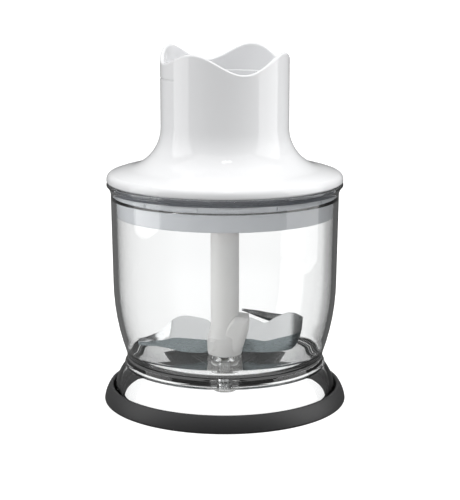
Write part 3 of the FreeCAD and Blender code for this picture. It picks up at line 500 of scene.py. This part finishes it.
rib = {"inner": 26.6, "wide": 2.2, "low": 126.0, "high": 146.9}
for k in range(4):
    turn = math.radians(90 * k + 45 + lid["turn"])
    guide = block(f"guideRib{k + 1}", (rib["inner"], -rib["wide"] / 2, rib["low"]),
                  (lid["collar"] - 1.2, rib["wide"] / 2, rib["high"]), turn, 0.4)
    place(guide, "lid", "white_gloss", whiteFinish)

base = {
    "deckTop": 109.3, "deck": 1.9, "skirt": 51.8, "skirtWall": 1.8, "skirtBottom": 92.2,
    "flange": 53.9, "flangeUnder": 107.7, "cup": 27.5, "cupInner": 25.5, "cupFloor": 91.6,
    "cupUnder": 89.6, "seat": 85.0,
}


def baseCorners(b):
    under = b["deckTop"] - b["deck"]
    skirtIn = b["skirt"] - b["skirtWall"]
    return [
        (10.4, b["seat"]), (12.4, b["seat"]), (12.4, b["cupUnder"]),
        (b["cup"] - 1.5, b["cupUnder"]), (b["cup"], b["cupUnder"] + 1.5), (b["cup"], under),
        (skirtIn, under), (skirtIn, b["skirtBottom"]), (b["skirt"], b["skirtBottom"]),
        (b["skirt"], b["flangeUnder"]), (b["flange"], b["flangeUnder"]),
        (b["flange"], b["deckTop"]), (b["cupInner"], b["deckTop"]),
        (b["cupInner"], b["cupFloor"]), (9.1, b["cupFloor"]), (9.1, b["seat"] + 2.1),
        (10.4, b["seat"] + 2.1),
    ]


lidBase = lathe("lidBase", baseCorners(base), soften=0.35, turns=192)
# the inner base's grey finish is partly painted shade on the skirt seen through the bowl
place(lidBase, "lid", "white_matte", greyAndShadeFinish, "lid_base")


def arcBlocks(name, k):
    # equal blocks round the axis: a grid of angle by section corner, its four corners being the
    # inner and outer radius at the low and high level, with both ends closed
    steps = k["steps"]
    corner = np.array([(k["inner"], k["low"]), (k["outer"], k["low"]), (k["outer"], k["high"]),
                       (k["inner"], k["high"])])
    first = np.arange(k["count"]) * 2 * np.pi / k["count"] + math.radians(k["start"])
    angle = first[:, None] + np.linspace(0, math.radians(k["sweep"]), steps)[None, :]
    angle = angle[:, :, None] * np.ones(4)
    radius, height = corner[:, 0] * np.ones_like(angle), corner[:, 1] * np.ones_like(angle)
    verts = np.stack([radius * np.cos(angle), radius * np.sin(angle), height], axis=-1)
    i, j = [m.ravel() for m in np.meshgrid(np.arange(steps - 1), np.arange(4), indexing="ij")]
    nextJ = (j + 1) % 4
    side = np.column_stack([i * 4 + j, (i + 1) * 4 + j, (i + 1) * 4 + nextJ, i * 4 + nextJ])
    end = (steps - 1) * 4
    one = np.vstack([side, [[0, 1, 2, 3], [end + 3, end + 2, end + 1, end]]])
    faces = (np.arange(k["count"])[:, None, None] * steps * 4 + one[None]).reshape(-1, 4)
    piece = meshFrom(name, verts.reshape(-1, 3), faces.tolist(), smooth=False)
    makeOutward(piece)
    edge = piece.modifiers.new("edge", "BEVEL")
    edge.width, edge.segments, edge.limit_method = k["soften"] * mm, 2, "ANGLE"
    return piece


lug = {"count": 12, "start": 17.5, "sweep": 20.0, "inner": 51.2, "outer": 53.0, "low": 101.7,
       "high": 103.5, "steps": 13, "soften": 0.25}
# the lugs share that grey, partly painted shade
place(arcBlocks("skirtLugs", lug), "lid", "white_matte", greyAndShadeFinish)

# a dark ring under the lid's lip, put where there is only shade: it paints the shade of that recess
lipShade = {"inner": 51.2, "outer": 52.6, "low": 104.2, "high": 107.5}
lipShadeCorners = [
    (lipShade["inner"], lipShade["low"]), (lipShade["outer"] - 0.5, lipShade["low"]),
    (lipShade["outer"], lipShade["low"] + 0.9), (lipShade["outer"] - 0.3, lipShade["high"] - 1.2),
    (lipShade["outer"], lipShade["high"]), (lipShade["inner"], lipShade["high"]),
]
lipShadeRing = lathe("lipShadeRing", lipShadeCorners, soften=0.25, turns=192)
place(lipShadeRing, "lid", "soft_rubber", shadeRingFinish)
print("lid made")


# the blade: a tube with a hexagon head, a boot and two wings
hub = {"radius": 6.9, "base": 22.6, "shoulder": 84.8, "bore": 4.05, "turn": -9.0}
head = {"flat": 9.7, "low": 81.6, "high": 90.8, "soften": 0.4}  # the hexagon on top
boot = {"deep": 16.0, "bend": 3.2, "soften": 1.6}  # the block round the tube's foot


def hubCorners(h):
    foot = h["base"]
    return [
        (5.7, foot), (h["radius"] + 1.4, foot), (h["radius"] + 1.9, foot + 2.0),
        (h["radius"] + 1.9, foot + 9.0, 14.0, -1), (h["radius"], foot + 17.0),
        (h["radius"], h["shoulder"] - 0.8), (h["radius"] - 0.8, h["shoulder"]),
        (h["bore"], h["shoulder"]), (h["bore"], foot + 1.2), (5.7, foot + 1.2),
    ]


def prism(name, outline, low, high, soften):
    # an outline in x and y carried along z from low to high, with rounded edges
    outline = np.asarray(outline, float)
    count = len(outline)
    verts = np.vstack([np.column_stack([outline, np.full(count, z)]) for z in (low, high)])
    k = np.arange(count)
    sides = np.column_stack([k, (k + 1) % count, (k + 1) % count + count, k + count]).tolist()
    faces = sides + [k[::-1].tolist(), (k + count).tolist()]
    piece = meshFrom(name, verts, faces)
    edge = piece.modifiers.new("edge", "BEVEL")
    edge.width, edge.segments, edge.limit_method = soften * mm, 4, "ANGLE"
    edge.angle_limit = math.radians(30)
    edge.harden_normals = True
    return piece


hubTube = lathe("hubTube", hubCorners(hub), soften=0.3, turns=128)
place(hubTube, "blade", "white_matte", satinFinish, "blade_hub")

reach = head["flat"] / math.sqrt(3)  # from the axis to a corner
hexagon = [(reach * math.cos(math.radians(60 * k)), reach * math.sin(math.radians(60 * k)))
           for k in range(6)]
hubHead = prism("hubHead", hexagon, head["low"], head["high"], head["soften"])
place(hubHead, "blade", "white_matte", satinFinish)

foot = hub["base"]
bootCorners = [
    (-7.0, foot + 0.5), (6.0, foot + 0.5), (8.8, foot + 4.0), (11.2, foot + 12.0, 20.0, 1),
    (11.8, foot + 18.6), (5.4, foot + 19.4, 9.0, 1), (0.6, foot + 12.6, 7.0, -1),
    (-3.0, foot + 9.2), (-7.2, foot + 8.8),
]


def pillow(name, outline, deep, bend, turn):
    # an outline in x and z carried along y between two bulging ends: near an end, at an angle a
    # from 0 to 90 degrees, y stands bend * (1 - sin a) short of the end, and the outline shrinks
    # towards its middle by bend * (1 - cos a) over its mean radius
    outline = np.asarray(outline, float)
    middle = outline.mean(axis=0)
    meanRadius = np.linalg.norm(outline - middle, axis=1).mean()
    a = np.linspace(0, np.pi / 2, 9)  # nine layers round each end
    rise = deep / 2 - bend * (1 - np.sin(a))
    shrink = 1 - bend * (1 - np.cos(a)) / meanRadius
    along = np.concatenate([rise[::-1], -rise])
    scale = np.concatenate([shrink[::-1], shrink])
    flat = middle + (outline - middle)[None, :, :] * scale[:, None, None]
    x, y = flat[..., 0].ravel(), np.repeat(along, len(outline))
    c, s = math.cos(turn), math.sin(turn)
    verts = np.column_stack([x * c - y * s, x * s + y * c, flat[..., 1].ravel()])
    count, layers = len(outline), len(along)
    i, j = np.meshgrid(np.arange(layers - 1), np.arange(count), indexing="ij")
    i, j = i.ravel(), j.ravel()
    nextJ = (j + 1) % count
    sides = np.column_stack([i * count + j, i * count + nextJ, (i + 1) * count + nextJ,
                             (i + 1) * count + j]).tolist()
    ends = [list(range(count))[::-1], [(layers - 1) * count + k for k in range(count)]]
    piece = meshFrom(name, verts, sides + ends)
    makeOutward(piece)
    crisp(piece, sharpFrom["boot"])
    return piece


bootOutline = rounded(bootCorners, boot["soften"])
hubBoot = pillow("hubBoot", bootOutline, boot["deep"], boot["bend"], math.radians(hub["turn"]))
place(hubBoot, "blade", "white_matte", satinFinish)

blade = {"thick": 1.2, "edge": 0.12, "honed": 0.38, "honedRows": 4, "across": 7, "smooth": 8}
lowWing = [
    ((-4.0, -1.4, 23.4), (-4.0, 0.8, 35.2)), ((-8.0, -2.4, 23.4), (-8.4, 1.5, 38.7)),
    ((-14.3, -3.0, 23.5), (-14.3, 2.2, 40.1)), ((-20.5, -2.8, 23.9), (-20.6, 2.8, 40.5)),
    ((-25.4, -2.0, 24.8), (-25.2, 3.2, 38.6)), ((-28.6, -1.0, 25.3), (-28.4, 4.0, 34.8)),
    ((-33.3, 0.5, 25.7), (-33.2, 6.0, 31.0)), ((-38.7, 2.0, 25.5), (-38.8, 7.6, 28.2)),
    ((-43.2, 3.4, 25.3), (-43.3, 7.8, 27.0)),
]
highWing = [
    ((4.0, -1.0, 23.6), (4.0, 0.8, 39.8)), ((11.8, -2.2, 23.6), (11.8, 1.2, 40.2)),
    ((16.5, -2.8, 23.6), (16.2, 1.5, 38.6)), ((20.1, -2.8, 23.6), (20.0, 1.5, 37.4)),
    ((26.3, -2.0, 23.8), (26.0, 2.5, 40.4)), ((33.1, 0.6, 24.5), (32.6, 4.5, 41.8)),
    ((36.8, 6.0, 27.6), (38.0, 8.3, 38.8)), ((37.4, 13.0, 29.2), (37.6, 12.0, 37.2)),
    ((32.1, 21.5, 30.4), (32.3, 20.2, 36.2)), ((22.8, 27.6, 31.6), (22.7, 26.4, 35.9)),
    ((17.5, 29.6, 33.0), (17.5, 28.6, 36.4)), ((12.3, 30.2, 35.0), (12.3, 29.6, 36.8)),
    ((8.8, 30.0, 36.4), (8.7, 29.6, 37.2)),
]


def flowing(points, steps):
    # a curve through the points: each stretch is a cubic whose end slopes are half the step
    # between the neighbours on either side
    points = np.asarray(points, float)
    padded = np.vstack([2 * points[0] - points[1], points, 2 * points[-1] - points[-2]])
    t = (np.arange(steps) / steps)[:, None]
    parts = []
    for i in range(1, len(padded) - 2):
        a, b, c, d = padded[i - 1:i + 3]
        parts.append(0.5 * (2 * b + (c - a) * t + (2 * a - 5 * b + 4 * c - d) * t**2
                            + (3 * b - a - 3 * c + d) * t**3))
    return np.vstack(parts + [points[-1:]])


def wing(name, stations):
    # a sheet between a lower and an upper edge curve, given its thickness along the normal and
    # ground thin below its honed share: at a share u of the way up, the thickness is
    # thick * (edge + (1 - edge) * min(u / honed, 1)). Its honed part has a darker finish of its
    # own, whose dark colour is painted shade and reflection along the lower edge
    lower = flowing([s[0] for s in stations], blade["smooth"])
    upper = flowing([s[1] for s in stations], blade["smooth"])
    honedRows, honed = blade["honedRows"], blade["honed"]
    u = np.concatenate([np.linspace(0, honed, honedRows, endpoint=False),
                        np.linspace(honed, 1.0, blade["across"])])
    middle = lower[:, None, :] + u[None, :, None] * (upper - lower)[:, None, :]
    along = np.gradient(middle, axis=0)
    across = np.gradient(middle, axis=1)
    normal = np.cross(across, along)
    normal /= np.linalg.norm(normal, axis=2)[:, :, None]
    grind = blade["edge"] + (1 - blade["edge"]) * np.clip(u / honed, 0.0, 1.0)
    half = (blade["thick"] / 2 * grind)[None, :, None]
    front, back = middle + normal * half, middle - normal * half
    c, s = math.cos(math.radians(hub["turn"])), math.sin(math.radians(hub["turn"]))
    rows, cols = u.size, len(lower)
    verts = np.vstack([front.reshape(-1, 3), back.reshape(-1, 3)])
    verts = np.column_stack([verts[:, 0] * c - verts[:, 1] * s,
                             verts[:, 0] * s + verts[:, 1] * c, verts[:, 2]])
    i, j = np.meshgrid(np.arange(cols - 1), np.arange(rows - 1), indexing="ij")
    i, j = i.ravel(), j.ravel()
    a = i * rows + j
    sheet = np.column_stack([a, a + rows, a + rows + 1, a + 1])
    offset = cols * rows
    backSheet = sheet[:, ::-1] + offset
    rim = np.concatenate([  # the sheet's border, once round
        np.arange(cols - 1) * rows, (cols - 1) * rows + np.arange(rows - 1),
        np.arange(cols - 1, 0, -1) * rows + rows - 1, np.arange(rows - 1, 0, -1),
    ])
    nextRim = np.roll(rim, -1)
    edge = np.column_stack([nextRim, rim, rim + offset, nextRim + offset])
    piece = meshFrom(name, verts, np.vstack([sheet, backSheet, edge]).tolist())
    makeOutward(piece)
    crisp(piece, sharpFrom["wing"])
    # the honed rows take the darker finish: a real honed strip, with painted shade and reflection
    # in its colour
    honedShadeFaces = np.zeros(len(piece.data.polygons), np.int32)
    honedShadeFaces[:2 * len(sheet)] = np.tile(j < honedRows, 2)
    piece.data.materials.append(bladeFinish)
    piece.data.materials.append(honedShadeFinish)
    piece.data.polygons.foreach_set("material_index", honedShadeFaces)
    return piece


lowBlade = wing("lowBlade", lowWing)
place(lowBlade, "blade", "blade_steel", None, "lower_blade")
highBlade = wing("highBlade", highWing)
place(highBlade, "blade", "blade_steel", None, "upper_blade")
for piece in (rubberRing, clearBowl, steelPin, lidShell, lidBase, lipShadeRing, hubTube):
    makeOutward(piece)
    crisp(piece, sharpFrom["turned"])
makeOutward(hubHead)
print("blade made")


# floor, camera and light
reachOut = 7.0  # metres from the middle of the floor to its sides
floorMesh = bpy.data.meshes.new("floor")
floorMesh.from_pydata([(-reachOut, -reachOut, 0), (reachOut, -reachOut, 0),
                       (reachOut, reachOut, 0), (-reachOut, reachOut, 0)], [], [(0, 1, 2, 3)])
floor = bpy.data.objects.new("floor", floorMesh)
bpy.context.scene.collection.objects.link(floor)
floorFinish = finish("floorFinish", (0.35, 0.35, 0.35), 0.9, Emission_Color=(1, 1, 1, 1),
                     Emission_Strength=0.94)[0]
floorMesh.materials.append(floorFinish)
floor.visible_transmission = False  # the object and the clear bowl see the room below instead
floor.visible_glossy = False
floor.visible_diffuse = False

shot = {"away": 700.0, "high": 217.19, "down": 0.202, "azimuth": -9.0, "lens": 106.24,
        "shiftX": 0.0103, "sensor": 36.0}
turn = math.radians(shot["azimuth"])
camera = bpy.data.objects.new("camera", bpy.data.cameras.new("camera"))
bpy.context.scene.collection.objects.link(camera)
camera.data.lens = shot["lens"]
camera.data.sensor_width = shot["sensor"]
camera.data.shift_x = shot["shiftX"]
camera.data.clip_start, camera.data.clip_end = 0.05, 50.0
camera.location = (shot["away"] * mm * math.sin(turn), -shot["away"] * mm * math.cos(turn),
                   shot["high"] * mm)
camera.rotation_euler = (math.pi / 2 - shot["down"], 0.0, turn)
bpy.context.scene.camera = camera


def softbox(name, azimuth, elevation, distance, wide, tall, bright):
    # azimuth is counted round from the camera's side, positive towards its right
    light = bpy.data.objects.new(name, bpy.data.lights.new(name, "AREA"))
    bpy.context.scene.collection.objects.link(light)
    light.data.shape = "RECTANGLE"
    light.data.size, light.data.size_y = wide, tall
    light.data.energy = bright * math.pi * wide * tall
    around = math.radians(azimuth) + math.radians(shot["azimuth"])
    up = math.radians(elevation)
    away = Vector((math.sin(around) * math.cos(up), -math.cos(around) * math.cos(up), math.sin(up)))
    light.location = Vector((0, 0, 0.1)) + away * distance
    light.rotation_euler = away.to_track_quat("Z", "Y").to_euler()
    light.visible_camera = False
    return light


# a box's power is its brightness times pi times its area, so each is given by brightness
rightBox = softbox("rightBox", 84, 14, 1.1, 0.95, 1.2, 2.1)
rightBox.visible_transmission = False
softbox("leftBox", -84, 14, 1.2, 0.8, 1.2, 1.7)
softbox("topBox", 0, 86, 1.2, 1.9, 1.7, 1.1)
softbox("topWindow", 5, 66, 1.2, 0.2, 0.11, 9.0)

room = {
    "front": 0.1, "leftGain": 0.12, "topGain": 0.52, "belowGain": 0.42,  # outside the bowl
    "insideFront": 0.82, "insideLeft": 0.75,  # on the pieces inside it
    "window": 1.1, "gap": 0.72, "aloft": 0.16, "mirror": 1.05, "mirrorDark": 0.11,  # through it
    "mainCentre": 4.5, "mainHalf": 13.5, "sideHalf": 12.0, "soft": 4.0,  # windows, in degrees
}
world = bpy.data.worlds.new("studio")
bpy.context.scene.world = world
world.use_nodes = True


def buildWorld(r):
    # camera rays see plain white, and other light sees an even, pale room. Light that has come
    # through the clear bowl sees its own room: white windows with soft grey between them when
    # it came straight through, bright in front and dark at the sides after a reflection, which
    # draws the bowl's edges, and a soft fill from the left on the pieces inside
    tree = world.node_tree
    tree.nodes.clear()
    out = tree.nodes.new("ShaderNodeOutputWorld")
    path = tree.nodes.new("ShaderNodeLightPath")
    where = tree.nodes.new("ShaderNodeTexCoord")
    split = tree.nodes.new("ShaderNodeSeparateXYZ")
    link = tree.links.new
    link(where.outputs["Generated"], split.inputs[0])
    east, north, high = split.outputs["X"], split.outputs["Y"], split.outputs["Z"]

    def calc(operation, a, b=0.0, c=0.0):
        node = tree.nodes.new("ShaderNodeMath")
        node.operation = operation
        for slotIndex, value in enumerate((a, b, c)):
            if isinstance(value, (int, float)):
                node.inputs[slotIndex].default_value = value
            else:
                link(value, node.inputs[slotIndex])
        return node.outputs[0]

    def ramp(value, low, high):
        node = tree.nodes.new("ShaderNodeMapRange")
        node.interpolation_type = "SMOOTHSTEP"
        node.inputs["From Min"].default_value = low
        node.inputs["From Max"].default_value = high
        link(value, node.inputs["Value"])
        return node.outputs["Result"]

    def blend(share, first, second):
        # first where share is 0, second where it is 1
        node = tree.nodes.new("ShaderNodeMix")
        for slotIndex, value in zip((0, 2, 3), (share, first, second)):
            if isinstance(value, (int, float)):
                node.inputs[slotIndex].default_value = value
            else:
                link(value, node.inputs[slotIndex])
        return node.outputs[0]

    def window(offCentre, half):
        return calc("SUBTRACT", 1.0, ramp(calc("ABSOLUTE", offCentre), half, half + r["soft"]))

    # degrees round from +Y towards +X, and how far that is from the nearest multiple of 45
    bearing = calc("MULTIPLY", calc("ARCTAN2", east, north), 180 / math.pi)
    folded = calc("SUBTRACT", calc("MODULO", calc("ADD", bearing, 720 + 22.5), 45.0), 22.5)
    main = window(calc("SUBTRACT", bearing, r["mainCentre"]), r["mainHalf"])
    windows = calc("MAXIMUM", main, window(folded, r["sideHalf"]))
    through = blend(ramp(high, 0.15, 0.4), blend(windows, r["gap"], r["window"]), r["aloft"])

    # how far a direction points towards the camera's right, and towards the camera
    turn = math.radians(shot["azimuth"])
    right = calc("MULTIPLY_ADD", east, math.cos(turn), calc("MULTIPLY", north, math.sin(turn)))
    near = calc("MULTIPLY_ADD", east, math.sin(turn), calc("MULTIPLY", north, -math.cos(turn)))
    left = ramp(calc("MULTIPLY", right, -1.0), -0.2, 0.9)
    top = ramp(high, 0.0, 0.7)
    pale = calc("MULTIPLY_ADD", left, r["leftGain"], r["front"])
    pale = calc("MULTIPLY_ADD", top, r["topGain"], pale)
    below = calc("MULTIPLY", ramp(calc("MULTIPLY", high, -1.0), 0.0, 0.15),
                 calc("SUBTRACT", 1.0, path.outputs["Is Glossy Ray"]))
    pale = calc("MULTIPLY_ADD", below, r["belowGain"], pale)
    fill = calc("MULTIPLY_ADD", left, r["insideLeft"], r["insideFront"])
    facing = calc("MULTIPLY", ramp(near, 0.2, 0.7), ramp(high, -0.3, 0.0))
    mirrored = blend(facing, r["mirrorDark"], r["mirror"])

    reflected = calc("GREATER_THAN", path.outputs["Glossy Depth"], 0.5)
    scattered = calc("GREATER_THAN", path.outputs["Diffuse Depth"], 0.5)
    inside = blend(scattered, blend(reflected, through, mirrored), fill)
    seen = blend(path.outputs["Is Transmission Ray"], pale, inside)
    sky = tree.nodes.new("ShaderNodeBackground")
    sky.inputs["Color"].default_value = (1, 1, 1, 1)
    link(blend(path.outputs["Is Camera Ray"], seen, 1.0), sky.inputs["Strength"])
    link(sky.outputs[0], out.inputs["Surface"])


buildWorld(room)
scene = bpy.context.scene
scene.view_settings.view_transform = "Standard"
scene.cycles.max_bounces = 24
scene.cycles.transmission_bounces = 20
scene.cycles.glossy_bounces = 8
scene.cycles.diffuse_bounces = 4
scene.cycles.use_denoising = True
print("camera and light set")
